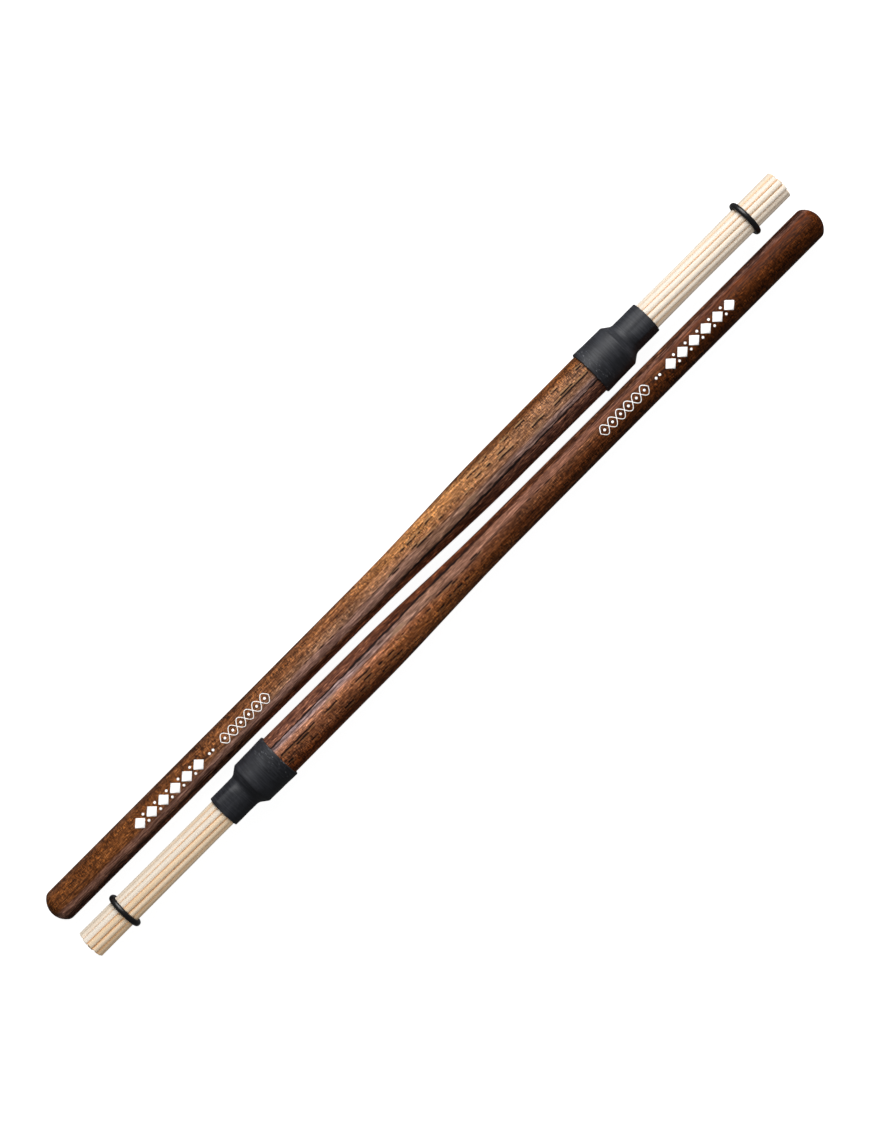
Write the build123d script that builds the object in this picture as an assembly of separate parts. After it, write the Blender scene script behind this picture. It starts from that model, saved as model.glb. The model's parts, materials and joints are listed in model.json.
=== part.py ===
from build123d import *
from math import asin, atan2, cos, degrees, hypot, radians, sin, sqrt
import os

# A pair of rod sticks for playing drums softly, lying side by side and head to tail.
# Each stick is a turned hardwood handle with a bundle of nineteen thin birch dowels glued into
# a socket in its thick end. A shrunk-on sleeve covers the joint, and a rubber ring that slides
# along the bundle sets how far the dowels spread when they strike.
#
# Stick frame: X runs along the axis from the butt (0) to the dowel tips. Millimetres.
# Row frame: X along the pair, Y across it, Z up, origin on the table under the pair's middle.

# Whole stick, and how the pair lies: each stick a little nearer its own butt's end of the row
LENGTH = 406.4
STICK_SPACING = 19.5
STICK_SHIFT = 1.08
SECOND_STICK_ROLL = 3.5

# Handle
GRIP_RADIUS = 7.0
BUTT_DOME_RADIUS = 8.06
BUTT_EDGE_RADIUS = 3.0
GRIP_END = 115.0
WAIST = (180.0, 7.16)
SHOULDER = (250.6, 8.97)
FLARE_SLOPE = 0.004
BARREL_RADIUS = 9.15
BARREL_START = 300.0
NOSE_CHAMFER_LENGTH = 1.85
NOSE_CHAMFER_DEPTH = 1.37
HANDLE_END = 317.2

# Socket in the handle's thick end
SOCKET_RADIUS = 6.6
SOCKET_DEPTH = 47.7
SOCKET_LEAD_IN = 0.4
GLUE_UNDER_DOWELS = 1.5
GLUE_ROUND_DOWELS = 2.0

# Dowels: one in the middle, a ring of six and a ring of twelve, in the closest round packing.
# Pitches are distances from the axis in dowel radii, and angles are degrees about the axis.
# All lean the same way round the axis, so that the bundle is thinnest at its waist.
DOWEL_RADIUS = 1.25
DOWEL_GAP = 0.05
DOWEL_EDGE = 0.12
INNER_COUNT = 6
OUTER_COUNT = 12
INNER_PITCH = 2.0
OUTER_PITCH = sqrt(2.0) + sqrt(6.0)
BUNDLE_WAIST = 375.0
BUNDLE_TWIST_PER_MM = 0.22
BUNDLE_TURN = 4.9
TIP_UNEVENNESS = 0.45
TIP_PATTERN = 137.5

# Sleeve
SLEEVE_START = 300.7
SLEEVE_END = LENGTH - 74.4
SLEEVE_BORE_RADIUS = 6.34
SLEEVE_RIM_RADIUS = 10.1
SLEEVE_RIM_WIDTH = 1.3
SLEEVE_RIM_EDGE = 0.4
SLEEVE_BODY = (306.0, 9.97)
SLEEVE_SHOULDER = (316.0, 9.81)
SLEEVE_SHOULDER_BEND = 1.2
SLEEVE_NECK = (319.5, 7.27)
SLEEVE_NECK_BEND = 3.5
SLEEVE_MOUTH_EDGE = 0.3
SLEEVE_INNER_NECK = 319.3

# Sliding ring: its section is a little flattened against the dowels
RING_CENTRE = 386.8
RING_BORE_RADIUS = 6.29
RING_THICKNESS = 1.85
RING_WIDTH = 2.4

DOWEL_START = HANDLE_END - SOCKET_DEPTH + GLUE_UNDER_DOWELS
ORIGIN = (0, 0)


def corner_rounded(face, corner, radius):
    """The face with the corner nearest to that point rounded off."""
    vertex = face.vertices().sort_by_distance((corner[0], corner[1], 0))[0]
    return fillet(vertex, radius)


def turned(face):
    """The solid that a half outline in the XY plane makes when it turns about the stick's axis."""
    return revolve(face, Axis.X)


def butt_corner():
    """Where the butt's dome would meet the grip without the rounding between them."""
    return BUTT_DOME_RADIUS - sqrt(BUTT_DOME_RADIUS**2 - GRIP_RADIUS**2), GRIP_RADIUS


def grip_start():
    """Where the grip's straight stretch begins, just after the butt's rounding."""
    reach = BUTT_DOME_RADIUS - BUTT_EDGE_RADIUS
    return BUTT_DOME_RADIUS - sqrt(reach**2 - (GRIP_RADIUS - BUTT_EDGE_RADIUS) ** 2)


def butt_dome():
    """The spherical end of the handle, from the axis out to the butt's corner."""
    corner = butt_corner()
    half_angle = asin(GRIP_RADIUS / BUTT_DOME_RADIUS) / 2
    middle = (
        BUTT_DOME_RADIUS * (1 - cos(half_angle)),
        BUTT_DOME_RADIUS * sin(half_angle),
    )
    return ThreePointArc(ORIGIN, middle, corner)


def handle():
    """Turned hardwood: domed butt, straight grip, gentle flare, barrel, and a socket for the dowels."""
    nose_start = HANDLE_END - NOSE_CHAMFER_LENGTH
    nose_radius = BARREL_RADIUS - NOSE_CHAMFER_DEPTH
    socket_floor = HANDLE_END - SOCKET_DEPTH
    flare = Spline(WAIST, SHOULDER, tangents=[(1, FLARE_SLOPE), (1, FLARE_SLOPE)])
    grip = Polyline(butt_corner(), (GRIP_END, GRIP_RADIUS), WAIST)
    barrel_and_socket = Polyline(
        SHOULDER,
        (BARREL_START, BARREL_RADIUS),
        (nose_start, BARREL_RADIUS),
        (HANDLE_END, nose_radius),
        (HANDLE_END, SOCKET_RADIUS + SOCKET_LEAD_IN),
        (HANDLE_END - SOCKET_LEAD_IN, SOCKET_RADIUS),
        (socket_floor, SOCKET_RADIUS),
        (socket_floor, 0),
        ORIGIN,
    )
    outline = make_face([*butt_dome().edges(), *grip.edges(), *flare.edges(), *barrel_and_socket.edges()])
    return turned(corner_rounded(outline, butt_corner(), BUTT_EDGE_RADIUS))


def sleeve():
    """Shrunk-on tube: wide over the handle's end, necked down over the dowels."""
    nose_start = HANDLE_END - NOSE_CHAMFER_LENGTH
    rim = (SLEEVE_START, SLEEVE_RIM_RADIUS)
    mouth = (SLEEVE_END, SLEEVE_NECK[1])
    outline = make_face(
        Polyline(
            (SLEEVE_START, BARREL_RADIUS),
            rim,
            (SLEEVE_START + SLEEVE_RIM_WIDTH, SLEEVE_RIM_RADIUS),
            SLEEVE_BODY,
            SLEEVE_SHOULDER,
            SLEEVE_NECK,
            mouth,
            (SLEEVE_END, SLEEVE_BORE_RADIUS),
            (SLEEVE_INNER_NECK, SLEEVE_BORE_RADIUS),
            (HANDLE_END, BARREL_RADIUS - NOSE_CHAMFER_DEPTH),
            (nose_start, BARREL_RADIUS),
            close=True,
        )
    )
    bends = (
        (rim, SLEEVE_RIM_EDGE),
        (SLEEVE_SHOULDER, SLEEVE_SHOULDER_BEND),
        (SLEEVE_NECK, SLEEVE_NECK_BEND),
        (mouth, SLEEVE_MOUTH_EDGE),
    )
    for corner, radius in bends:
        outline = corner_rounded(outline, corner, radius)
    return turned(outline)


def sliding_ring():
    """Rubber ring round the dowels."""
    centre_radius = RING_BORE_RADIUS + RING_THICKNESS / 2
    section = Pos(RING_CENTRE, centre_radius) * Ellipse(RING_WIDTH / 2, RING_THICKNESS / 2)
    return turned(section)


def dowel(pitch, angle, number):
    """One straight dowel, with the pitch and angle that it has at the bundle's waist."""
    spread = pitch * (DOWEL_RADIUS + DOWEL_GAP / 2)
    around = radians(angle)

    def middle(along):
        """The dowel's middle that far along the stick."""
        aside = spread * radians(BUNDLE_TWIST_PER_MM) * (along - BUNDLE_WAIST)
        across = spread * cos(around) - aside * sin(around)
        return Vector(along, across, spread * sin(around) + aside * cos(around))

    tip = LENGTH - TIP_UNEVENNESS * (1 + sin(radians(TIP_PATTERN * number))) / 2
    root = middle(DOWEL_START)
    lean = middle(tip) - root
    rod = Cylinder(DOWEL_RADIUS, lean.length, align=(Align.CENTER, Align.CENTER, Align.MIN))
    rod = chamfer(rod.edges().sort_by(Axis.Z)[-1], DOWEL_EDGE)
    return Plane(origin=root, x_dir=(0, 0, 1), z_dir=lean) * rod


def bundle():
    """The nineteen dowels by name."""
    rods = {"core": dowel(0, 0, 0)}
    for k in range(INNER_COUNT):
        angle = BUNDLE_TURN + 360 / INNER_COUNT * k
        rods[f"inner_{k + 1}"] = dowel(INNER_PITCH, angle, k + 1)
    for k in range(OUTER_COUNT):
        angle = BUNDLE_TURN + 360 / OUTER_COUNT * (k + 0.5)
        rods[f"outer_{k + 1:02d}"] = dowel(OUTER_PITCH, angle, INNER_COUNT + k + 1)
    return rods


def glue_bed(rods):
    """Hardened glue on the socket's floor, with the dowels' ends set in it."""
    floor = HANDLE_END - SOCKET_DEPTH
    thickness = GLUE_UNDER_DOWELS + GLUE_ROUND_DOWELS
    bed = Pos(floor, 0, 0) * Rot(0, 90, 0) * Cylinder(
        SOCKET_RADIUS, thickness, align=(Align.CENTER, Align.CENTER, Align.MIN)
    )
    return bed - list(rods.values())


def stick_pieces():
    """Every piece of one stick by name, in the stick frame."""
    rods = bundle()
    pieces = {f"dowel_{name}": rod for name, rod in rods.items()}
    pieces["handle"] = handle()
    pieces["sleeve"] = sleeve()
    pieces["sliding_ring"] = sliding_ring()
    pieces["glue_bed"] = glue_bed(rods)
    return pieces


def resting_tilt():
    """The angle, in degrees, at which a stick rests on its sleeve's rim and its butt."""
    along = SLEEVE_START + SLEEVE_RIM_EDGE - grip_start()
    edges = BUTT_EDGE_RADIUS - SLEEVE_RIM_EDGE
    rise = SLEEVE_RIM_RADIUS - GRIP_RADIUS + edges
    return degrees(atan2(rise, along) - asin(edges / hypot(along, rise)))


def butt_height():
    """Height of the axis at the butt when the stick rests on the table."""
    tilt = radians(resting_tilt())
    edge_centre = GRIP_RADIUS - BUTT_EDGE_RADIUS
    return edge_centre * cos(tilt) + BUTT_EDGE_RADIUS - grip_start() * sin(tilt)


def stick_places():
    """Where each stick lies.

    The second is the first turned half round about the pair's middle, then rolled about its own axis."""
    tilt = resting_tilt()
    half_run = LENGTH / 2 * cos(radians(tilt))
    first = Pos(-half_run - STICK_SHIFT, STICK_SPACING / 2, butt_height()) * Rot(0, -tilt, 0)
    return {"a": first, "b": Rot(0, 0, 180) * first * Rot(SECOND_STICK_ROLL, 0, 0)}


def node_name(piece, stick):
    """The piece's file name, such as handle_a or dowel_a_core."""
    kind, _, which = piece.partition("_")
    return f"dowel_{stick}_{which}" if kind == "dowel" else f"{piece}_{stick}"


def main():
    os.makedirs("parts", exist_ok=True)
    pieces = stick_pieces()
    for stick, place in stick_places().items():
        for piece, shape in pieces.items():
            export_step(place * shape, f"parts/{node_name(piece, stick)}.step")


main()
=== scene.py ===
import json
import math
import random

import bmesh
import bpy
import numpy as np
from mathutils import Matrix, Vector


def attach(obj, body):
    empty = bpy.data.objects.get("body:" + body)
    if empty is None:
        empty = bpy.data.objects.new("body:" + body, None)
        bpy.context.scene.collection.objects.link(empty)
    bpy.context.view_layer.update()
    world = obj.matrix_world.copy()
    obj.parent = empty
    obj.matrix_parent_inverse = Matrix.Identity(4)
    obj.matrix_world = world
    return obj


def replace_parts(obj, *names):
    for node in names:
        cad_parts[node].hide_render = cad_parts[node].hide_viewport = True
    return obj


# The looks of a pair of drum rods: roasted-wood handles, birch dowels, shrunk-on sleeves, rubber rings.
# The stick frame runs along X from the butt to the dowel tips, with Z up. Shapes are in metres, and
# the materials' patterns are in millimetres.

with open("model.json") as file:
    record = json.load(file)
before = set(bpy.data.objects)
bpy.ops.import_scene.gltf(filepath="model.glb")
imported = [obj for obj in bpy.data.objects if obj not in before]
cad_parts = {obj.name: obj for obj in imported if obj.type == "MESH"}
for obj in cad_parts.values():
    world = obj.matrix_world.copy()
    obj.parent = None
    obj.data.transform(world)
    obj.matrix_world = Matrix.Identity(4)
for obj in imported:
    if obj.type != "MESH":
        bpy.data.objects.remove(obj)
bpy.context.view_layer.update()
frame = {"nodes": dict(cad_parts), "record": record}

MM = 0.001
STICKS = ("a", "b")

# Camera: straight above the pair, rolled so that the sticks lie along the picture's diagonal
CAMERA_HEIGHT = 1.113
CAMERA_LENS = 89.15
CAMERA_ROLL = math.radians(-45.07)
CAMERA_DROP = 0.4 * MM
CAMERA_REACH = 20.0

# Places along a stick, and how far the second stick is rolled about its own axis
BUTT_TO_GRIP_MIDDLE = 59.98 * MM
SLEEVE_NECK_START = 319.6 * MM
ROLL = {"a": 0.0, "b": math.radians(3.5)}

# A face of a turned piece belongs to a skin when its normal leans at least this much to that side
SKIN_FACING = 0.02


# ---------------------------------------------------------------- stick frames and mesh helpers


def stick_frame(stick):
    """The stick's own frame, read from its grip mount."""
    grip = next(m for m in frame["record"]["mounts"] if m["name"] == f"grip_{stick}")
    along = -Vector(grip["axis"]).normalized()
    across = Vector((0, 0, 1)).cross(along).normalized()
    origin = Vector(grip["pos_m"]) - along * BUTT_TO_GRIP_MIDDLE
    columns = Matrix((along, across, along.cross(across))).transposed().to_4x4()
    return Matrix.Translation(origin) @ columns @ Matrix.Rotation(ROLL[stick], 4, "X")


FRAMES = {stick: stick_frame(stick) for stick in STICKS}


def node_points(node, stick):
    """The CAD node's vertices in its stick's frame, one row each."""
    into = FRAMES[stick].inverted()
    return np.array([into @ v.co for v in frame["nodes"][node].data.vertices])


def outline(node, stick, outside=True):
    """A turned CAD node's outer or inner skin: places along the stick and the radius at each."""
    points = node_points(node, stick)
    side = 1 if outside else -1
    rim = {}
    for face in frame["nodes"][node].data.polygons:
        corners = points[list(face.vertices)]
        middle = corners.mean(0)
        normal = np.cross(corners[1] - corners[0], corners[2] - corners[0])
        away = side * float(normal[1:] @ middle[1:])
        if away <= SKIN_FACING * np.linalg.norm(normal) * np.hypot(*middle[1:]):
            continue
        for p in corners:
            place = round(float(p[0]), 6)
            rim[place] = max(rim.get(place, 0.0), float(np.hypot(p[1], p[2])))
    along = sorted(rim)
    return np.array(along), np.array([rim[x] for x in along])


def mesh_object(name, points, faces, stick, body, material):
    """A smooth-shaded piece from points in the stick's frame, riding on its body."""
    mesh = bpy.data.meshes.new(name)
    mesh.from_pydata([FRAMES[stick] @ Vector(p) for p in points], [], faces)
    mesh.polygons.foreach_set("use_smooth", [True] * len(mesh.polygons))
    mesh.validate()
    shell = bmesh.new()
    shell.from_mesh(mesh)
    bmesh.ops.recalc_face_normals(shell, faces=shell.faces)
    shell.to_mesh(mesh)
    shell.free()
    mesh.update()
    mesh.materials.append(material)
    piece = bpy.data.objects.new(name, mesh)
    bpy.context.scene.collection.objects.link(piece)
    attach(piece, body)
    return piece


def loft(rings):
    """Points and quads of a skin through rings of equally many points, open at both ends."""
    count = len(rings[0])
    points = [p for ring in rings for p in ring]
    faces = []
    for r in range(len(rings) - 1):
        for k in range(count):
            n = (k + 1) % count
            faces.append((r * count + k, r * count + n, (r + 1) * count + n, (r + 1) * count + k))
    return points, faces


# ---------------------------------------------------------------- material helpers

# A colour ramp that stands for a line covers this much along the stick and across it, in millimetres
PATH_LENGTH = 320.0
PATH_WIDTH = 20.0


class Shader:
    """A small helper that adds nodes to one material and joins them."""

    def __init__(self, name):
        self.material = bpy.data.materials.new(name)
        self.material.use_nodes = True
        self.tree = self.material.node_tree
        self.tree.nodes.clear()
        output = self.node("ShaderNodeOutputMaterial")
        self.surface = self.node("ShaderNodeBsdfPrincipled")
        self.join(self.surface.outputs[0], output.inputs["Surface"])

    def node(self, kind, **settings):
        """A new node with those settings."""
        made = self.tree.nodes.new(kind)
        for key, value in settings.items():
            setattr(made, key, value)
        return made

    def join(self, value, socket):
        """Sets a socket to a constant, or links another node's output to it."""
        if isinstance(value, bpy.types.NodeSocket):
            self.tree.links.new(value, socket)
        elif value is not None:
            socket.default_value = value

    def math(self, operation, a, b=None):
        """The result of a sum on one or two numbers."""
        made = self.node("ShaderNodeMath", operation=operation)
        for value, socket in zip((a, b), made.inputs):
            self.join(value, socket)
        return made.outputs[0]

    def add(self, a, b):
        """a + b."""
        return self.math("ADD", a, b)

    def times(self, a, b):
        """a times b."""
        return self.math("MULTIPLY", a, b)

    def vector(self, operation, a, b=None):
        """The result of a sum on one or two vectors."""
        made = self.node("ShaderNodeVectorMath", operation=operation)
        self.join(a, made.inputs[0])
        self.join(b, made.inputs[1])
        return made.outputs[0]

    def length(self, vector):
        """A vector's length."""
        made = self.node("ShaderNodeVectorMath", operation="LENGTH")
        self.join(vector, made.inputs[0])
        return made.outputs["Value"]

    def split(self, vector):
        """A vector's three parts."""
        made = self.node("ShaderNodeSeparateXYZ")
        self.join(vector, made.inputs[0])
        return made.outputs

    def combine(self, x, y, z):
        """The vector with those three parts."""
        made = self.node("ShaderNodeCombineXYZ")
        for value, socket in zip((x, y, z), made.inputs):
            self.join(value, socket)
        return made.outputs[0]

    def noise(self, vector, size, detail=2.0, roughness=0.5, distortion=0.0):
        """Noise from 0 to 1 whose features are about as large as size, which may differ along each axis."""
        made = self.node("ShaderNodeTexNoise", noise_dimensions="3D")
        self.join(self.vector("DIVIDE", vector, size), made.inputs["Vector"])
        self.join(1.0, made.inputs["Scale"])
        self.join(detail, made.inputs["Detail"])
        self.join(roughness, made.inputs["Roughness"])
        self.join(distortion, made.inputs["Distortion"])
        return made.outputs["Fac"]

    def cells(self, vector, size):
        """The distance to the nearest of many scattered points, in units of size."""
        made = self.node("ShaderNodeTexVoronoi", voronoi_dimensions="3D", feature="F1")
        self.join(self.vector("DIVIDE", vector, size), made.inputs["Vector"])
        self.join(1.0, made.inputs["Scale"])
        self.join(1.0, made.inputs["Randomness"])
        return made.outputs["Distance"]

    def step(self, value, low, high, start=0.0, end=1.0):
        """A smooth rise from start to end as the value goes from low to high."""
        made = self.node("ShaderNodeMapRange", interpolation_type="SMOOTHSTEP")
        for entry, socket in zip((value, low, high, start, end), made.inputs):
            self.join(entry, socket)
        return made.outputs[0]

    def ramp(self, value, *stops):
        """A colour by value: stops are (place, (r, g, b))."""
        made = self.node("ShaderNodeValToRGB")
        self.join(value, made.inputs[0])
        entries = made.color_ramp.elements
        while len(entries) < len(stops):
            entries.new(0.5)
        for entry, (place, colour) in zip(entries, stops):
            entry.position = place
            entry.color = (*colour, 1.0)
        return made.outputs[0]

    def path(self, x, *points):
        """A smooth line through (x, y) points: y where the stick is x millimetres from its butt."""
        made = self.node("ShaderNodeValToRGB")
        made.color_ramp.interpolation = "B_SPLINE"
        entries = made.color_ramp.elements
        while len(entries) < len(points):
            entries.new(0.5)
        for entry, (place, y) in zip(entries, points):
            entry.position = place / PATH_LENGTH
            entry.color = (y / PATH_WIDTH + 0.5,) * 3 + (1.0,)
        self.join(self.math("DIVIDE", x, PATH_LENGTH), made.inputs[0])
        return self.times(self.add(made.outputs[0], -0.5), PATH_WIDTH)

    def stretch(self, value, low, high, start, end):
        """A straight change from start to end as the value goes from low to high, and level beyond."""
        made = self.node("ShaderNodeMapRange", interpolation_type="LINEAR", clamp=True)
        for entry, socket in zip((value, low, high, start, end), made.inputs):
            self.join(entry, socket)
        return made.outputs[0]

    def dashes(self, x, y, row):
        """A row of dashes along the stick, tapered at their ends, and the pale lips beside them."""
        stops = []
        for along, across, half in row:
            level = across / PATH_WIDTH + 0.5
            full = half - PORE_TAPER
            for place, width in ((-half, 0.0), (-full, 1.0), (full, 1.0), (half, 0.0)):
                stops.append(((along + place - PORE_ROWS_START) / PORE_ROWS_LENGTH, (level, width, 0.0)))
        share = self.math("DIVIDE", self.add(x, -PORE_ROWS_START), PORE_ROWS_LENGTH)
        across, width, _ = self.split(self.ramp(share, *stops))
        off = self.math("SUBTRACT", y, self.times(self.add(across, -0.5), PATH_WIDTH))
        on = self.step(width, 0.1, 0.9)
        dark = self.times(self.step(self.math("ABSOLUTE", off), PORE_HALF_WIDTH, PORE_HALF_WIDTH / 2), on)
        lip = self.math("ABSOLUTE", self.add(off, -LIP_OFFSET))
        return dark, self.times(self.step(lip, LIP_HALF_WIDTH, LIP_HALF_WIDTH / 3), on)

    def vary(self, colour, noise, gains):
        """The colour brighter where the noise is over its middle and darker where it is under, by channel."""
        swing = self.add(noise, -0.5)
        factors = [self.math("POWER", 2.0, self.times(swing, gain)) for gain in gains]
        return self.mix(1.0, colour, self.combine(*factors), "MULTIPLY")

    def blend(self, share, a, b):
        """A number between a and b."""
        return self.add(a, self.times(share, self.math("SUBTRACT", b, a)))

    def tint(self, colour, factor):
        """The colour times a grey factor."""
        return self.mix(1.0, colour, self.combine(factor, factor, factor), "MULTIPLY")

    def mix(self, share, a, b, blend="MIX"):
        """A colour between a and b, or a blended with b in another way."""
        made = self.node("ShaderNodeMix", data_type="RGBA", blend_type=blend, clamp_factor=True)
        self.join(share, made.inputs[0])
        for value, socket in ((a, made.inputs[6]), (b, made.inputs[7])):
            if isinstance(value, tuple):
                value = (*value, 1.0)
            self.join(value, socket)
        return made.outputs[2]

    def bump(self, height, strength, distance, normal=None):
        """Gives the surface a relief from a height, on top of another normal if there is one."""
        made = self.node("ShaderNodeBump")
        self.join(normal, made.inputs["Normal"])
        self.join(height, made.inputs["Height"])
        self.join(strength, made.inputs["Strength"])
        self.join(distance, made.inputs["Distance"])
        self.join(made.outputs[0], self.surface.inputs["Normal"])

    def set(self, **values):
        """Sets or joins the surface's inputs by name, with _ for a space."""
        for key, value in values.items():
            if isinstance(value, tuple):
                value = (*value, 1.0)
            self.join(value, self.surface.inputs[key.replace("_", " ")])

    def place_in_stick(self, stick):
        """The shaded point in the stick's frame, in millimetres."""
        made = self.node("ShaderNodeMapping", vector_type="TEXTURE")
        origin, turn, _ = FRAMES[stick].decompose()
        self.join(self.node("ShaderNodeTexCoord").outputs["Object"], made.inputs["Vector"])
        made.inputs["Location"].default_value = origin
        made.inputs["Rotation"].default_value = turn.to_euler()
        made.inputs["Scale"].default_value = (MM, MM, MM)
        return made.outputs[0]


# ---------------------------------------------------------------- materials

# Colours across the handle (edge, golden, tan, grey, dark) at places along it, in millimetres
WOOD_COLOURS = (
    (
        40.0,
        (0.10, 0.040, 0.020),
        (0.165, 0.053, 0.014),
        (0.175, 0.057, 0.017),
        (0.31, 0.15, 0.105),
        (0.025, 0.007, 0.003),
    ),
    (
        165.0,
        (0.033, 0.012, 0.008),
        (0.24, 0.092, 0.038),
        (0.355, 0.175, 0.10),
        (0.435, 0.235, 0.18),
        (0.16, 0.060, 0.029),
    ),
    (
        215.0,
        (0.11, 0.045, 0.019),
        (0.44, 0.19, 0.070),
        (0.32, 0.13, 0.055),
        (0.315, 0.16, 0.10),
        (0.135, 0.046, 0.021),
    ),
    (
        275.0,
        (0.135, 0.046, 0.015),
        (0.255, 0.115, 0.060),
        (0.27, 0.13, 0.075),
        (0.295, 0.175, 0.15),
        (0.21, 0.085, 0.055),
    ),
)

# The second handle's colours are the first's times these: painted light and shade, darker overall where the
# first stick shades it, lighter or darker by side as the light falls on it
SECOND_HANDLE_LIGHT_AND_SHADE = (
    (
        45.0,
        (0.95, 0.70, 0.40),
        (0.41, 0.32, 0.24),
        (0.44, 0.33, 0.20),
        (0.33, 0.15, 0.04),
        (1.15, 1.20, 1.30),
    ),
    (
        185.0,
        (1.5, 1.2, 0.95),
        (0.64, 0.48, 0.38),
        (0.43, 0.31, 0.25),
        (0.65, 0.54, 0.46),
        (0.38, 0.28, 0.23),
    ),
    (
        265.0,
        (1.45, 1.0, 0.75),
        (0.93, 0.72, 0.64),
        (1.7, 1.5, 1.5),
        (1.0, 1.1, 1.25),
        (0.77, 0.73, 0.70),
    ),
)

PORE_COLOUR = (0.010, 0.006, 0.006)
# Colours of the pale lips beside the bold pores; the second handle's are darker as painted shade
LIP_COLOURS_SECOND_SHADED = {"a": (0.50, 0.29, 0.135), "b": (0.34, 0.16, 0.065)}
PALE_COLOUR = (0.42, 0.245, 0.145)

# The two growth lines that part the zones: place along the stick and place across it
UPPER_LINE = ((0, -1.8), (70, -2.2), (125, -2.0), (182, 0.2), (222, 0.7), (246, -1.1), (316, -1.4))
LOWER_LINE = ((0, -4.8), (110, -4.3), (180, -4.2), (222, -4.5), (243, -3.7), (280, -3.3), (316, -3.7))

# The boldest pores on a handle's upper side, in rows: place along the stick, place across it, half length
PORE_ROWS = (
    (
        (190.5, -0.7, 3.2),
        (210.0, 0.0, 6.4),
        (219.2, 1.6, 1.9),
        (234.0, 1.0, 2.3),
        (255.0, 1.3, 4.5),
        (272.4, 1.2, 3.8),
        (290.5, 1.0, 9.6),
    ),
    (
        (199.5, 3.4, 1.6),
        (205.8, 3.4, 4.0),
        (215.0, 4.3, 2.4),
        (241.2, 3.0, 2.2),
        (245.9, 2.9, 2.2),
        (254.0, 3.1, 2.4),
        (289.0, 2.1, 3.6),
    ),
    (
        (203.3, 0.9, 2.2),
        (240.0, 5.2, 3.5),
        (246.4, 5.8, 2.5),
        (258.4, 5.3, 3.1),
        (266.6, 5.5, 2.8),
        (285.4, 5.1, 1.9),
        (298.2, 4.9, 1.7),
    ),
)
PORE_ROWS_START = 180.0
PORE_ROWS_LENGTH = 122.0
PORE_TAPER = 0.6
PORE_HALF_WIDTH = 0.42
LIP_OFFSET = 0.72
LIP_HALF_WIDTH = 0.36

# Pale patches on a handle's upper side: the middle and the half sizes, along the stick and across it
PALE_PATCHES = (
    ((232.0, -1.7), (6.0, 1.3)),
    ((270.5, -1.2), (4.0, 0.8)),
)


def wood_zones(s, x, above_upper, above_lower, softness, table):
    """The colour by zone, changing along the handle from each row of the table to the next."""

    def across(edge, golden, tan, grey, dark):
        """From the edge of the golden side down to the dark zone."""
        colour = s.mix(s.step(above_upper, -0.9, 1.0), grey, tan)
        colour = s.mix(s.step(above_upper, 1.2, 4.0), colour, golden)
        colour = s.mix(s.step(above_upper, 6.2, 8.8), colour, edge)
        return s.mix(s.step(above_lower, softness, s.times(softness, -0.6)), colour, dark)

    colour = across(*table[0][1:])
    for before, after in zip(table, table[1:]):
        colour = s.mix(s.stretch(x, before[0], after[0], 0.0, 1.0), colour, across(*after[1:]))
    return colour


def pale_patches(s, x, y, z, colour):
    """The colour with the handle's pale patches on its upper side."""
    for (along, across), half in PALE_PATCHES:
        off = s.vector("SUBTRACT", s.combine(x, y, 0.0), (along, across, 0.0))
        patch = s.step(s.length(s.vector("DIVIDE", off, (*half, 1.0))), 1.1, 0.2)
        colour = s.mix(s.times(s.times(patch, s.step(z, 0.0, 2.0)), 0.6), colour, PALE_COLOUR)
    return colour


def cross_flecks(s, place, above_upper, colour):
    """The colour with rows of short bright and dark ticks across the grain, mostly in the golden zone."""
    fleck = s.noise(place, (0.38, 1.5, 1.5), 1.0, 0.5)
    rows = s.step(s.noise(place, (24.0, 1.7, 1.7), 2.0, 0.5), 0.40, 0.60)
    in_golden = s.times(s.step(above_upper, 0.0, 2.6), s.stretch(rows, 0.0, 1.0, 0.25, 1.0))
    flecked = s.add(in_golden, 0.15)
    bright = s.mix(1.0, colour, (1.7, 1.6, 1.2), "MULTIPLY")
    colour = s.mix(s.times(s.step(fleck, 0.54, 0.60), s.times(flecked, 0.85)), colour, bright)
    return s.mix(s.times(s.step(fleck, 0.49, 0.40), s.times(flecked, 0.80)), colour, s.tint(colour, 0.32))


def growth_line_pores(s, place, x, above_upper, above_lower):
    """How dark the pores on the growth lines are: the bold lower one, one beside it, and the upper one."""
    ragged = s.noise(place, (5.0, 1.6, 1.6), 3.0, 0.6)
    reach = s.times(s.stretch(ragged, 0.35, 0.65, 0.24, 0.80), s.stretch(x, 256.0, 268.0, 1.15, 0.80))
    lower = s.step(s.math("ABSOLUTE", above_lower), reach, s.times(reach, 0.5))
    lower = s.times(lower, s.step(x, 160.0, 205.0))
    beside = s.math("ABSOLUTE", s.add(above_lower, -1.35))
    second = s.times(s.step(ragged, 0.46, 0.54), s.step(x, 225.0, 245.0))
    second = s.times(s.step(beside, 0.32, 0.12), second)
    upper = s.times(s.step(s.math("ABSOLUTE", above_upper), 0.26, 0.08), s.step(ragged, 0.45, 0.56))
    upper = s.times(upper, s.times(s.step(x, 100.0, 140.0), s.step(x, 236.0, 226.0)))
    return s.math("MAXIMUM", s.math("MAXIMUM", lower, upper), s.times(second, 0.7))


def bold_pores(s, place, x, y, z):
    """How dark the boldest pores are, and how strong the pale lips beside them."""
    bent = s.add(y, s.times(s.add(s.noise(place, (3.0, 4.0, 4.0), 2.0, 0.6), -0.5), 0.5))
    broken = s.step(s.noise(place, (1.7, 2.4, 2.4), 2.0, 0.5), 0.34, 0.50, 0.25, 1.0)
    bold, lips = 0.0, 0.0
    for row in PORE_ROWS:
        dark, lip = s.dashes(x, bent, row)
        bold = s.math("MAXIMUM", bold, dark)
        lips = s.math("MAXIMUM", lips, lip)
    on_top = s.times(broken, s.step(z, 0.0, 2.0))
    return s.times(bold, on_top), s.times(s.times(lips, on_top), 0.6)


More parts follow.
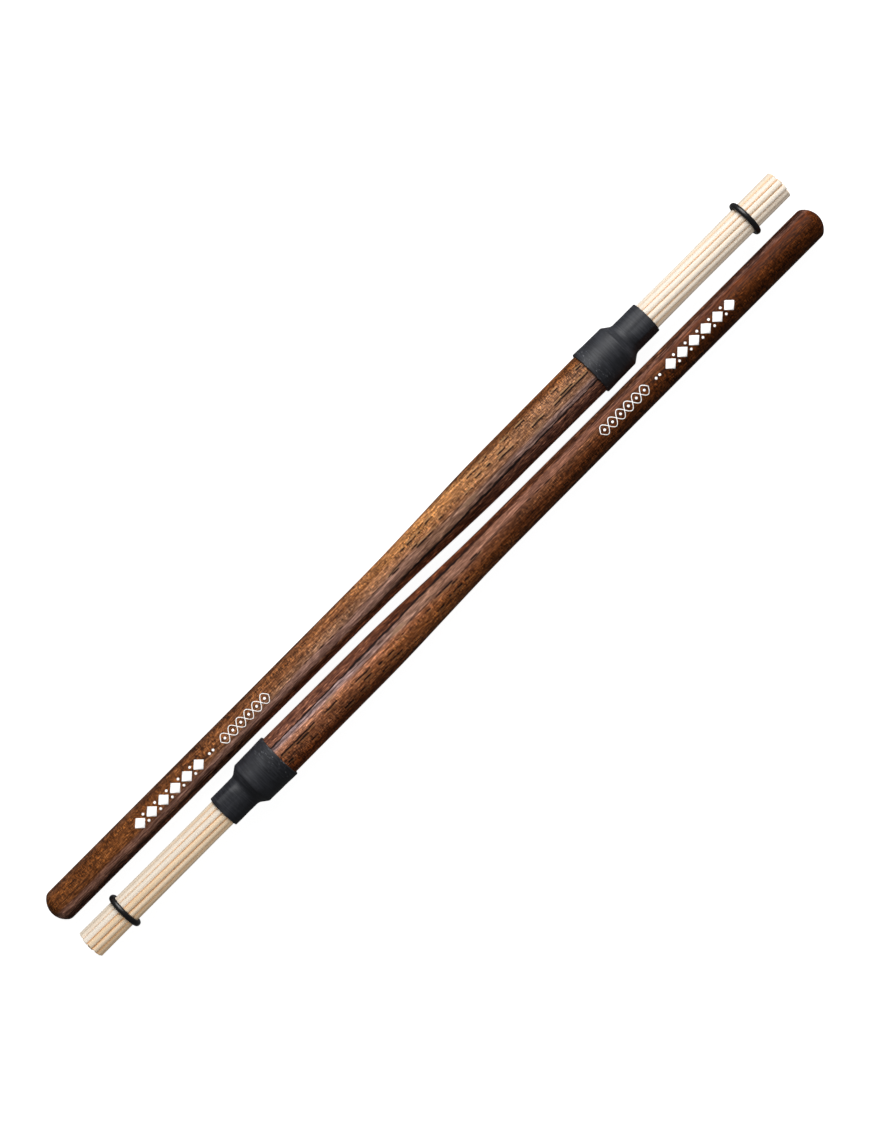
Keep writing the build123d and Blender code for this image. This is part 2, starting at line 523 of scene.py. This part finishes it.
def roasted_wood(stick):
    """Roasted ash: a golden, a greyish and a dark zone, with pores, fibres and cross flecks."""
    s = Shader(f"roasted_wood_{stick}")
    place = s.place_in_stick(stick)
    x, y, z = s.split(place)

    # heights above the two wavy growth lines that part the zones
    waver = s.add(s.noise(place, (26.0, 6.0, 6.0), 3.0, 0.6), -0.5)
    level = s.add(s.add(y, s.times(z, 0.05)), s.times(waver, 2.4))
    above_upper = s.math("SUBTRACT", level, s.path(x, *UPPER_LINE))
    above_lower = s.math("SUBTRACT", level, s.path(x, *LOWER_LINE))

    # the dark zone's border is soft at the grip and sharp at the barrel
    softness = s.stretch(x, 110.0, 215.0, 1.5, 0.25)
    colour = wood_zones(s, x, above_upper, above_lower, softness, WOOD_COLOURS)
    # the second handle is a lit and shaded copy: its zone colours times painted light and shade
    if stick == "b":
        second = wood_zones(s, x, above_upper, above_lower, softness, SECOND_HANDLE_LIGHT_AND_SHADE)
        colour = s.mix(1.0, colour, second, "MULTIPLY")

    # blotches, then long and short fibres, which are longer below the upper growth line
    blotch = s.noise(place, (14.0, 2.6, 2.6), 2.0, 0.5)
    long_fibre = s.noise(place, (15.0, 0.85, 0.85), 3.0, 0.6)
    short_fibre = s.noise(place, (2.4, 0.50, 0.50), 3.0, 0.7)
    fine_fibre = s.noise(place, (5.0, 0.38, 0.38), 3.0, 0.75)
    fibre = s.blend(s.step(above_upper, -1.2, 0.6), fine_fibre, short_fibre)
    colour = s.vary(colour, blotch, (2.0, 2.2, 2.3))
    colour = s.vary(colour, long_fibre, (3.2, 3.5, 3.5))
    colour = s.vary(colour, fibre, (7.0, 7.6, 7.9))

    # streaks in the dark zone, and a painted rim light: its outer side made lighter towards the grip
    streak = s.noise(place, (3.0, 0.50, 0.50), 3.0, 0.72)
    colour = s.mix(s.step(above_lower, 0.6, -0.2), colour, s.vary(colour, streak, (9.5, 10.0, 8.6)))
    # painted rim light on the side turned away from the key lamp
    rim = s.times(s.step(y, -5.4, -6.6), s.stretch(x, 205.0, 235.0, 1.0, 0.0))
    colour = s.mix(rim, colour, s.tint(colour, 2.2))
    colour = pale_patches(s, x, y, z, colour)
    colour = cross_flecks(s, place, above_upper, colour)

    # pores: bold dashes with a pale lip, short and thin ones everywhere, and the growth lines
    bold, lips = bold_pores(s, place, x, y, z)
    wavy = s.vector("ADD", place, s.combine(0.0, s.times(waver, 4.0), 0.0))
    scattered = s.cells(wavy, (15.0, 1.2, 1.2))
    short = s.times(s.step(scattered, 0.17, 0.11), s.stretch(above_upper, -2.0, 0.5, 0.30, 0.85))
    thin = s.step(s.noise(place, (34.0, 0.8, 0.8), 2.0, 0.5, 0.2), 0.64, 0.69)
    # pale lips, darker on the second handle as painted shade
    colour = s.mix(lips, colour, LIP_COLOURS_SECOND_SHADED[stick])
    lines = growth_line_pores(s, place, x, above_upper, above_lower)
    pores = s.math("MAXIMUM", s.math("MAXIMUM", bold, short), s.math("MAXIMUM", s.times(thin, 0.6), lines))
    colour = s.mix(s.times(pores, 0.96), colour, PORE_COLOUR)

    s.set(Base_Color=colour, Specular_IOR_Level=0.08, IOR=1.5)
    s.set(Roughness=s.add(s.times(fibre, 0.2), s.add(s.times(pores, 0.2), 0.44)))
    height = s.math("SUBTRACT", s.add(s.times(fibre, 0.45), s.times(long_fibre, 0.3)), pores)
    s.bump(height, 0.5, 0.14 * MM)
    return s.material


def birch():
    """Bare birch dowel: pale, with fine straight grain and a few darker streaks.

    Light that soaks into birch comes out beside where it went in and softens the hollows between dowels,
    so the shading leans towards the bundle's outside."""
    s = Shader("birch")
    place = s.node("ShaderNodeAttribute", attribute_name="grain").outputs["Vector"]
    tint = s.noise(place, (90.0, 2.2, 2.2), 2.0, 0.5)
    colour = s.ramp(tint, (0.3, (0.68, 0.58, 0.46)), (0.5, (0.72, 0.65, 0.56)), (0.7, (0.75, 0.70, 0.64)))
    # a warmer colour at random, and painted warm shade on the second stick's half turned from the key lamp
    warmth_and_shade = s.node("ShaderNodeAttribute", attribute_name="warmth_and_shade").outputs["Fac"]
    colour = s.mix(warmth_and_shade, colour, s.mix(1.0, colour, (0.97, 0.80, 0.58), "MULTIPLY"))
    grain = s.noise(place, (22.0, 0.16, 0.16), 3.0, 0.6)
    darker = s.ramp(grain, (0.3, (0.90, 0.87, 0.83)), (0.7, (1.0, 1.0, 1.0)))
    colour = s.mix(1.0, colour, darker, "MULTIPLY")
    streak = s.step(s.noise(place, (16.0, 0.26, 0.26), 2.0, 0.5), 0.64, 0.74)
    colour = s.mix(s.times(streak, 0.35), colour, (0.62, 0.42, 0.24))
    # painted shade: the flanks that face the next dowels are tinted a darker orange
    flank_shade = s.node("ShaderNodeAttribute", attribute_name="flank_shade").outputs["Fac"]
    colour = s.mix(flank_shade, colour, s.mix(1.0, colour, (1.08, 0.84, 0.62), "MULTIPLY"))
    s.set(Base_Color=colour, Specular_IOR_Level=0.3, IOR=1.5)
    s.set(Roughness=s.add(s.times(grain, 0.2), 0.50))
    lean = s.node("ShaderNodeVectorTransform", vector_type="VECTOR")
    lean.convert_from, lean.convert_to = "OBJECT", "WORLD"
    s.join(s.node("ShaderNodeAttribute", attribute_name="outward").outputs["Vector"], lean.inputs[0])
    leaning = s.vector("ADD", s.node("ShaderNodeNewGeometry").outputs["Normal"], lean.outputs[0])
    s.bump(grain, 0.25, 0.05 * MM, s.vector("NORMALIZE", leaning))
    return s.material


def shrink_sleeve(stick):
    """Satin black heat-shrink with faint hoops, and pale scuffs near its rear end."""
    s = Shader(f"shrink_sleeve_{stick}")
    place = s.place_in_stick(stick)
    x = s.split(place)[0]
    hoops = s.noise(place, (0.42, 8.0, 8.0), 2.0, 0.6)
    cloud = s.noise(place, (4.0, 3.0, 3.0), 3.0, 0.55)
    colour = s.ramp(hoops, (0.3, (0.009, 0.010, 0.014)), (0.7, (0.031, 0.033, 0.040)))
    lightness = s.ramp(cloud, (0.3, (0.8, 0.8, 0.8)), (0.7, (1.3, 1.3, 1.3)))
    colour = s.mix(1.0, colour, lightness, "MULTIPLY")
    scuff = s.noise(place, (0.30, 1.5, 1.5), 2.0, 0.5)
    near_end = s.step(x, 309.0, 302.5)
    scuffs = s.times(s.step(scuff, 0.62, 0.72), s.add(s.times(near_end, 0.45), 0.06))
    colour = s.mix(scuffs, colour, (0.30, 0.31, 0.33))
    s.set(Base_Color=colour, Specular_IOR_Level=0.42, IOR=1.5)
    s.set(Roughness=s.add(s.times(cloud, 0.14), s.add(s.times(scuffs, 0.2), 0.47)))
    s.bump(s.add(s.times(hoops, 0.8), s.times(cloud, 0.6)), 0.45, 0.06 * MM)
    return s.material


def ring_rubber(stick):
    """Smooth moulded rubber with a little dust."""
    s = Shader(f"ring_rubber_{stick}")
    place = s.place_in_stick(stick)
    dust = s.noise(place, (0.35, 0.35, 0.35), 3.0, 0.6)
    clean, worn, dusty = (0.005, 0.005, 0.006), (0.009, 0.009, 0.010), (0.035, 0.035, 0.035)
    colour = s.ramp(dust, (0.35, clean), (0.62, worn), (0.78, dusty))
    s.set(Base_Color=colour, Specular_IOR_Level=0.5, IOR=1.5)
    s.set(Roughness=s.add(s.times(dust, 0.22), 0.22))
    s.bump(s.noise(place, (0.8, 0.8, 0.8), 2.0, 0.5), 0.12, 0.05 * MM)
    return s.material


def hardened_glue():
    """Yellowish wood glue with small bubbles."""
    s = Shader("hardened_glue")
    place = s.vector("DIVIDE", s.node("ShaderNodeTexCoord").outputs["Object"], (MM, MM, MM))
    cloud = s.noise(place, (1.6, 1.6, 1.6), 3.0, 0.55)
    bubbles = s.step(s.cells(place, (0.9, 0.9, 0.9)), 0.28, 0.16)
    colour = s.ramp(cloud, (0.3, (0.50, 0.34, 0.13)), (0.7, (0.70, 0.54, 0.28)))
    colour = s.mix(s.times(bubbles, 0.4), colour, (0.80, 0.70, 0.48))
    s.set(Base_Color=colour, Roughness=s.add(s.times(cloud, 0.2), 0.25), IOR=1.46)
    s.bump(s.add(cloud, s.times(bubbles, 0.5)), 0.3, 0.2 * MM)
    return s.material


def white_ink(stick):
    """Thin matt ink, slightly worn where the grain lies under it."""
    s = Shader(f"white_ink_{stick}")
    place = s.place_in_stick(stick)
    wear = s.noise(place, (2.2, 0.20, 0.20), 3.0, 0.6)
    worn, thin, full = (0.62, 0.58, 0.52), (0.90, 0.89, 0.87), (0.96, 0.96, 0.95)
    colour = s.ramp(wear, (0.22, worn), (0.36, thin), (0.7, full))
    s.set(Base_Color=colour, Specular_IOR_Level=0.3, Roughness=s.add(s.times(wear, 0.2), 0.45))
    s.bump(wear, 0.15, 0.02 * MM)
    return s.material


def backdrop(name, colour, glow):
    """Plain matt paper that glows evenly."""
    s = Shader(name)
    s.set(Base_Color=colour, Roughness=0.9, Specular_IOR_Level=0.1)
    s.set(Emission_Color=(1.0, 1.0, 1.0), Emission_Strength=glow)
    return s.material


# ---------------------------------------------------------------- dowels

INNER_COUNT = 6
OUTER_COUNT = 12
DOWEL_SIDES = 32
DOWEL_STATIONS = 44
DOWEL_BOW = 0.07 * MM
DOWEL_SIZE_SPREAD = 0.012
DOWEL_SIDESTEP = 0.10 * MM
DOWEL_OVAL = 0.006
DOWEL_WAVER = 0.004
HELD_SHARE = 0.42
ROOT_CENTRE_SHARE = 0.5
TIP_ROUNDING = 0.10 * MM
TIP_BENDS = 4
TIP_FACE_RINGS = (0.8, 0.6, 0.4, 0.2, 0.07)
TIP_ROUGHNESS = 0.05 * MM
TIP_SHOULDER = 0.24 * MM
TIP_DOME = 0.9 * MM
TIP_DOME_LEVEL = 0.4
BUNDLE_RADIUS = 6.2 * MM

# Only the core dowel's two ends lie nearer the axis than this, taken together
OFF_AXIS = 1.0 * MM

# Shading: how far it leans outward, where the painted shade on a dowel's flanks starts and how wide it is,
# and how warm a dowel's colour can be, with painted warm shade on the second stick's half turned from the key
# lamp
OUTWARD_LEAN = 0.45
FLANK_SHADE_START = 0.65
FLANK_SHADE_WIDTH = 0.55
WARMTH_SPREAD = 0.3
WARM_SHADED_HALF = 0.7

# Dowels and print are so pale that the overhead lamp is for them alone
pale_pieces = bpy.data.collections.new("pale_pieces")


def dowel_axis(node, stick):
    """The middles of a CAD dowel's two ends, and its radius."""
    points = node_points(node, stick)
    middle = points[:, 0].mean()
    root_points = points[points[:, 0] < middle]
    tip_points = points[points[:, 0] > middle]
    root, tip = Vector(root_points.mean(0)), Vector(tip_points.mean(0))
    lean = (tip - root).normalized()
    reaches = [(Vector(p) - root).dot(lean) for p in tip_points]
    radius = max((Vector(p) - root).cross(lean).length for p in root_points)
    return root, root + lean * max(reaches), radius


def dowel_rings(ring, length, radius, lean, rng):
    """A dowel's skin as rings of points: its root's face, its length, its worn edge and its rough end."""
    rings = [ring(0.0, radius * ROOT_CENTRE_SHARE)]
    rings += [ring(length * k / DOWEL_STATIONS, radius) for k in range(DOWEL_STATIONS)]
    rings.append(ring(length - TIP_SHOULDER, radius))
    for k in range(TIP_BENDS):
        bend = math.pi / 2 * k / (TIP_BENDS - 1)
        along = length - TIP_ROUNDING * (1 - math.sin(bend))
        rings.append(ring(along, radius - TIP_ROUNDING * (1 - math.cos(bend))))
    for share in TIP_FACE_RINGS:
        face = ring(length, radius * share)
        rings.append([p - lean * TIP_ROUGHNESS * rng.random() for p in face])
    for made in rings[DOWEL_STATIONS + 1 :]:
        made[:] = [p - lean * TIP_DOME * (tip_share(p) - TIP_DOME_LEVEL) for p in made]
    return rings


def tip_share(p):
    """How far out in the bundle a point is, squared, so that the tips together make a low dome."""
    return (math.hypot(p.y, p.z) / BUNDLE_RADIUS) ** 2


def point_attribute(piece, name, kind, values):
    """Gives the piece's points a named value or vector that its material reads."""
    attribute = piece.data.attributes.new(name, kind, "POINT")
    attribute.data.foreach_set("vector" if kind == "FLOAT_VECTOR" else "value", values)


def dowel_shading(piece, points, stick, root, lean, outward):
    """How far each point lies on the dowel's flanks, which sets its painted shade, and which way its shading
    leans.
    """
    outside = outward.length > OFF_AXIS
    side_points = len(points) - len(TIP_FACE_RINGS) * DOWEL_SIDES
    turn = FRAMES[stick].to_3x3()
    leans, flank_shades = [], []
    for k, p in enumerate(points):
        from_root = Vector(p) - root
        from_axis = from_root - lean * from_root.dot(lean)
        facing = from_axis.dot(outward) / max(1e-9, from_axis.length * outward.length)
        flank_shades.append(min(1.0, max(0.0, (FLANK_SHADE_START - facing) / FLANK_SHADE_WIDTH)) if outside else 1.0)
        away = Vector((0, p[1], p[2]))
        away /= max(1e-6, away.length)
        leans += list(turn @ away * (OUTWARD_LEAN if k < side_points else 0.0))
    point_attribute(piece, "flank_shade", "FLOAT", flank_shades)
    point_attribute(piece, "outward", "FLOAT_VECTOR", leans)


def dowel(stick, kind, material):
    """One dowel: straight but for a slight bow, with a hand-cut end whose edge is a little worn."""
    node = f"dowel_{stick}_{kind}"
    rng = random.Random(kind)
    root, tip, radius = dowel_axis(node, stick)
    lean = (tip - root).normalized()
    side = lean.cross(Vector((0, 0, 1))).normalized()
    rise = side.cross(lean)
    radius *= 1 - DOWEL_SIZE_SPREAD * rng.random()
    bow = DOWEL_BOW * rng.uniform(-1, 1)
    bow_turn = rng.uniform(0, math.tau)
    bow_way = side * math.cos(bow_turn) + rise * math.sin(bow_turn)
    outward = Vector((0, root.y + tip.y, root.z + tip.z))
    sidestep = Vector()
    if outward.length > OFF_AXIS:
        sidestep = outward.cross(lean).normalized() * rng.uniform(-1, 1) * DOWEL_SIDESTEP
    length = (tip - root).length
    phase = rng.uniform(0, math.tau)
    seed = Vector((rng.uniform(0, 400), rng.uniform(0, 90), rng.uniform(0, 90)))

    def ring(along, reach):
        """A ring of points at a distance along the dowel, with that radius."""
        share = along / length
        free = max(0.0, share - HELD_SHARE) / (1 - HELD_SHARE)
        centre = root + lean * along + sidestep * free + bow_way * bow * math.sin(math.pi * free)
        made = []
        for k in range(DOWEL_SIDES):
            turn = math.tau * k / DOWEL_SIDES
            oval = DOWEL_OVAL * math.sin(2 * turn + phase)
            wide = reach * (1 + oval + DOWEL_WAVER * math.sin(9 * share + phase))
            made.append(centre + (side * math.cos(turn) + rise * math.sin(turn)) * wide)
        return made

    points, faces = loft(dowel_rings(ring, length, radius, lean, rng))
    faces.append(tuple(reversed(range(DOWEL_SIDES))))
    faces.append(tuple(range(len(points) - DOWEL_SIDES, len(points))))
    piece = mesh_object(f"rod_{stick}_{kind}", points, faces, stick, f"stick_{stick}", material)
    grain = []
    for p in points:
        from_root = Vector(p) - root
        along_and_across = Vector((from_root.dot(lean), from_root.dot(side), from_root.dot(rise)))
        grain += list(along_and_across / MM + seed)
    point_attribute(piece, "grain", "FLOAT_VECTOR", grain)
    warmth_and_shade = WARMTH_SPREAD * rng.random()
    # painted warm shade: the second stick's dowels on its half turned from the key lamp
    if stick == "b" and root.y + tip.y > 0:
        warmth_and_shade += WARM_SHADED_HALF
    point_attribute(piece, "warmth_and_shade", "FLOAT", [warmth_and_shade] * len(points))
    dowel_shading(piece, points, stick, root, lean, outward)
    pale_pieces.objects.link(piece)
    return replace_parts(piece, node)


def dowel_kinds():
    """The dowels of one stick by the last part of their CAD name."""
    inner = [f"inner_{k + 1}" for k in range(INNER_COUNT)]
    outer = [f"outer_{k + 1:02d}" for k in range(OUTER_COUNT)]
    return ["core", *inner, *outer]


# ---------------------------------------------------------------- sleeve

SLEEVE_SIDES = 144
SLEEVE_STEP = 0.3 * MM
SLEEVE_RIDGE = 0.09 * MM
SLEEVE_RIPPLE = 0.03 * MM
RIDGE_COUNT = 12
RIDGE_TURN = math.radians(11.7)
CREASE_TURN = math.radians(122.0)
CREASE_RISE = math.radians(20.0)
CREASE_FALL = math.radians(10.0)
CREASE_HEIGHT = 0.85 * MM
CREASE_END_LEVEL = 0.3
NECK_RUN_IN = 4.0 * MM
END_RUN_IN = 2.0 * MM
RIPPLE_PERIODS = (2.3 * MM, 1.7 * MM)


def bell(value, middle, width):
    """A smooth rise to 1 at the middle and fall to 0 beyond the width."""
    return math.exp(-(((value - middle) / width) ** 2))


def sleeve_relief(x, turn, start, end):
    """How far the sleeve's skin stands out from its CAD shape: ridges, one crease and ripples."""
    neck = min(1.0, max(0.0, (x - SLEEVE_NECK_START) / NECK_RUN_IN))
    ridges = SLEEVE_RIDGE * (abs(math.cos(RIDGE_COUNT / 2 * (turn - RIDGE_TURN))) - 1)
    width = CREASE_RISE if turn < CREASE_TURN else CREASE_FALL
    crease = CREASE_HEIGHT * bell(turn, CREASE_TURN, width)
    crease *= min(1.0, (end - x) / END_RUN_IN + CREASE_END_LEVEL)
    ripple = math.sin(3 * turn + x / RIPPLE_PERIODS[0]) * math.sin(x / RIPPLE_PERIODS[1] + turn)
    return neck * (ridges + crease) + SLEEVE_RIPPLE * ripple * min(1.0, (x - start) / END_RUN_IN)


def sleeve(stick, material):
    """Heat-shrink tube, closed all round, with the dowels under its neck showing as faint ridges."""
    node = f"sleeve_{stick}"
    places, radii = outline(node, stick)
    bore_places, bore_radii = outline(node, stick, outside=False)
    start, end = float(places[0]), float(places[-1])
    grid = np.arange(start, end, SLEEVE_STEP)
    apart = [x for x in grid if abs(places - x).min() > SLEEVE_STEP / 4]
    stations = [(x, float(np.interp(x, places, radii)), True) for x in sorted([*places, *apart])]
    stations += [(float(x), float(r), False) for x, r in reversed(list(zip(bore_places, bore_radii)))]
    rings = []
    for x, radius, outer in stations:
        ring = []
        for k in range(SLEEVE_SIDES):
            turn = math.tau * k / SLEEVE_SIDES
            reach = radius + (sleeve_relief(x, turn, start, end) if outer else 0.0)
            ring.append((x, reach * math.cos(turn), reach * math.sin(turn)))
        rings.append(ring)
    rings.append(rings[0])
    points, faces = loft(rings)
    spare = len(points) - SLEEVE_SIDES
    faces = [tuple(i - spare if i >= spare else i for i in face) for face in faces]
    name, body = f"shrunk_{node}", f"stick_{stick}"
    piece = mesh_object(name, points[:spare], faces, stick, body, material)
    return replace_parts(piece, node)


# ---------------------------------------------------------------- printed ornament

# A plain pattern of lozenges, dots and two crossing waves in place of the printing on the real handle
INK_THICKNESS = 0.03 * MM
INK_COLUMNS = 6
INK_MIDDLE_TURN = math.radians(86.0)
LOZENGE_COUNT = 6
LOZENGE_START = 48.0 * MM
LOZENGE_PITCH = 6.5 * MM
LOZENGE_LENGTH = 5.6 * MM
LOZENGE_HEIGHT = 5.4 * MM
LOZENGE_STEPS = 14
LOZENGE_TIP = 0.02 * MM
DOT_RADIUS = 0.55 * MM
DOT_STEPS = 14
DOT_TIP = 0.01 * MM
DOT_ASIDE = 0.32
LONE_DOTS = (89.4 * MM, 91.4 * MM)
WAVE_START = 95.8 * MM
WAVE_LENGTH = 26.4 * MM
WAVE_PERIODS = 3
WAVE_STEPS = 180
WAVE_HEIGHT = 2.3 * MM
WAVE_STROKE = 0.30 * MM


def lozenge_rows(middle):
    """Rows across a lozenge from tip to tip, each a pair of (x, y)."""
    rows = []
    for k in range(LOZENGE_STEPS + 1):
        share = 2 * k / LOZENGE_STEPS - 1
        x = middle + share * LOZENGE_LENGTH / 2
        half = LOZENGE_HEIGHT / 2 * (1 - abs(share)) + LOZENGE_TIP
        rows.append(((x, -half), (x, half)))
    return rows


def dot_rows(middle, y):
    """Rows across a round dot."""
    rows = []
    for k in range(DOT_STEPS + 1):
        turn = math.pi * k / DOT_STEPS
        x = middle - DOT_RADIUS * math.cos(turn)
        half = DOT_RADIUS * math.sin(turn) + DOT_TIP
        rows.append(((x, y - half), (x, y + half)))
    return rows


def wave_rows(sign):
    """Rows across a wavy stroke."""
    rows = []
    for k in range(WAVE_STEPS + 1):
        share = k / WAVE_STEPS
        turn = math.tau * WAVE_PERIODS * share
        slope = sign * WAVE_HEIGHT * math.cos(turn) * math.tau * WAVE_PERIODS / WAVE_LENGTH
        x, y = WAVE_START + WAVE_LENGTH * share, sign * WAVE_HEIGHT * math.sin(turn)
        lean = Vector((-slope, 1)).normalized() * WAVE_STROKE / 2
        rows.append(((x - lean.x, y - lean.y), (x + lean.x, y + lean.y)))
    return rows


def ink_shapes():
    """Every printed shape as rows of point pairs on the unrolled handle."""
    shapes = []
    for k in range(LOZENGE_COUNT):
        middle = LOZENGE_START + LOZENGE_PITCH * k + LOZENGE_LENGTH / 2
        shapes.append(lozenge_rows(middle))
        if k < LOZENGE_COUNT - 1:
            gap = middle + LOZENGE_PITCH / 2
            shapes += [dot_rows(gap, side * LOZENGE_HEIGHT * DOT_ASIDE) for side in (-1, 1)]
    shapes += [dot_rows(x, 0.0) for x in LONE_DOTS]
    shapes += [wave_rows(sign) for sign in (-1, 1)]
    for k in range(2 * WAVE_PERIODS):
        x = WAVE_START + WAVE_LENGTH * (k + 0.5) / (2 * WAVE_PERIODS)
        shapes.append(dot_rows(x, 0.0))
    return shapes


def ink_slab(rows, places, radii):
    """Points and faces of one thin slab of ink that follows the handle's round."""
    points = []
    for low, high in rows:
        for layer in (0, 1):
            for c in range(INK_COLUMNS + 1):
                x = low[0] + (high[0] - low[0]) * c / INK_COLUMNS
                y = low[1] + (high[1] - low[1]) * c / INK_COLUMNS
                radius = float(np.interp(x, places, radii))
                turn = INK_MIDDLE_TURN + y / radius
                reach = radius + (INK_THICKNESS if layer else -INK_THICKNESS)
                points.append((x, reach * math.cos(turn), reach * math.sin(turn)))
    width = INK_COLUMNS + 1
    faces = []
    for r in range(len(rows) - 1):
        under, over = 2 * width * r, 2 * width * r + width
        for c in range(INK_COLUMNS):
            faces.append((over + c, over + c + 1, over + c + 1 + 2 * width, over + c + 2 * width))
            faces.append((under + c + 2 * width, under + c + 1 + 2 * width, under + c + 1, under + c))
        for c in (0, INK_COLUMNS):
            side = (under + c, over + c, over + c + 2 * width, under + c + 2 * width)
            faces.append(side if c == 0 else side[::-1])
    for r in (0, len(rows) - 1):
        under, over = 2 * width * r, 2 * width * r + width
        for c in range(INK_COLUMNS):
            end = (under + c, under + c + 1, over + c + 1, over + c)
            faces.append(end if r == 0 else end[::-1])
    return points, faces


def ornament(stick, material):
    """The printed pattern on one handle, as one piece of many thin slabs."""
    places, radii = outline(f"handle_{stick}", stick)
    points, faces = [], []
    for rows in ink_shapes():
        slab_points, slab_faces = ink_slab(rows, places, radii)
        faces += [tuple(i + len(points) for i in face) for face in slab_faces]
        points += slab_points
    name, body = f"ornament_{stick}", f"stick_{stick}"
    piece = mesh_object(name, points, faces, stick, body, material)
    pale_pieces.objects.link(piece)
    return piece


# ---------------------------------------------------------------- studio

FLOOR_SIZE = 8.0
FLOOR_DROP = 0.05 * MM
FLOOR_COLOUR = (0.42, 0.42, 0.42)
FLOOR_GLOW = 0.96
KEY_DIRECTION = (0.44, 0.64, 0.62)
KEY_SIZE = 1.15
KEY_POWER = 29.5
FILL_DIRECTION = (0.05, -0.32, 0.94)
FILL_SIZE = 1.4
FILL_POWER = 14.0
LAMP_DISTANCE = 1.5
SKY_STRENGTH = 0.12


def floor():
    """A plain white sheet just under the pair, which glows so that no shadow shows on it.

    It is for the camera only: it doesn't light the pair and doesn't show in its gloss."""
    half = FLOOR_SIZE / 2
    corners = [(x, y, -FLOOR_DROP) for x, y in ((-half, -half), (half, -half), (half, half), (-half, half))]
    mesh = bpy.data.meshes.new("floor")
    mesh.from_pydata(corners, [], [(0, 1, 2, 3)])
    mesh.materials.append(backdrop("paper", FLOOR_COLOUR, FLOOR_GLOW))
    sheet = bpy.data.objects.new("floor", mesh)
    sheet.visible_diffuse = False
    sheet.visible_glossy = False
    bpy.context.scene.collection.objects.link(sheet)


def softbox(name, direction, size, power, only=None):
    """A square lamp that faces the middle of the pair and, if told so, lights one group of pieces only."""
    lamp = bpy.data.lights.new(name, "AREA")
    lamp.shape, lamp.size, lamp.energy = "SQUARE", size, power
    box = bpy.data.objects.new(name, lamp)
    bpy.context.scene.collection.objects.link(box)
    away = Vector(direction).normalized()
    box.location = away * LAMP_DISTANCE
    box.rotation_euler = away.to_track_quat("Z", "Y").to_euler()
    box.visible_camera = False
    if only:
        box.light_linking.receiver_collection = only


def sky(strength):
    """A dim, even white light from all round."""
    world = bpy.data.worlds.new("sky")
    world.use_nodes = True
    world.node_tree.nodes["Background"].inputs[0].default_value = (1.0, 1.0, 1.0, 1.0)
    world.node_tree.nodes["Background"].inputs[1].default_value = strength
    bpy.context.scene.world = world


def camera():
    """A long lens above the pair."""
    lens = bpy.data.cameras.new("camera")
    lens.lens = CAMERA_LENS
    lens.clip_end = CAMERA_REACH
    holder = bpy.data.objects.new("camera", lens)
    bpy.context.scene.collection.objects.link(holder)
    down = Matrix.Rotation(CAMERA_ROLL, 4, "Z") @ Vector((0, -CAMERA_DROP, 0))
    holder.location = (down.x, down.y, CAMERA_HEIGHT)
    holder.rotation_euler = (0, 0, CAMERA_ROLL)
    bpy.context.scene.camera = holder


# ---------------------------------------------------------------- the pair


def dress(node, material):
    """A CAD node keeps its shape and gets a finished material."""
    piece = frame["nodes"][node]
    for k in range(len(piece.material_slots)):
        piece.material_slots[k].material = material


def build_pair():
    """Both sticks: materials for the CAD nodes that stay, and finer pieces in place of the others."""
    birch_wood, glue = birch(), hardened_glue()
    for stick in STICKS:
        dress(f"handle_{stick}", roasted_wood(stick))
        dress(f"sliding_ring_{stick}", ring_rubber(stick))
        dress(f"glue_bed_{stick}", glue)
        for kind in dowel_kinds():
            dowel(stick, kind, birch_wood)
        sleeve(stick, shrink_sleeve(stick))
        ornament(stick, white_ink(stick))


camera()
floor()
softbox("key", KEY_DIRECTION, KEY_SIZE, KEY_POWER)
sky(SKY_STRENGTH)
softbox("fill", FILL_DIRECTION, FILL_SIZE, FILL_POWER, pale_pieces)
bpy.context.scene.view_settings.view_transform = "Standard"
build_pair()
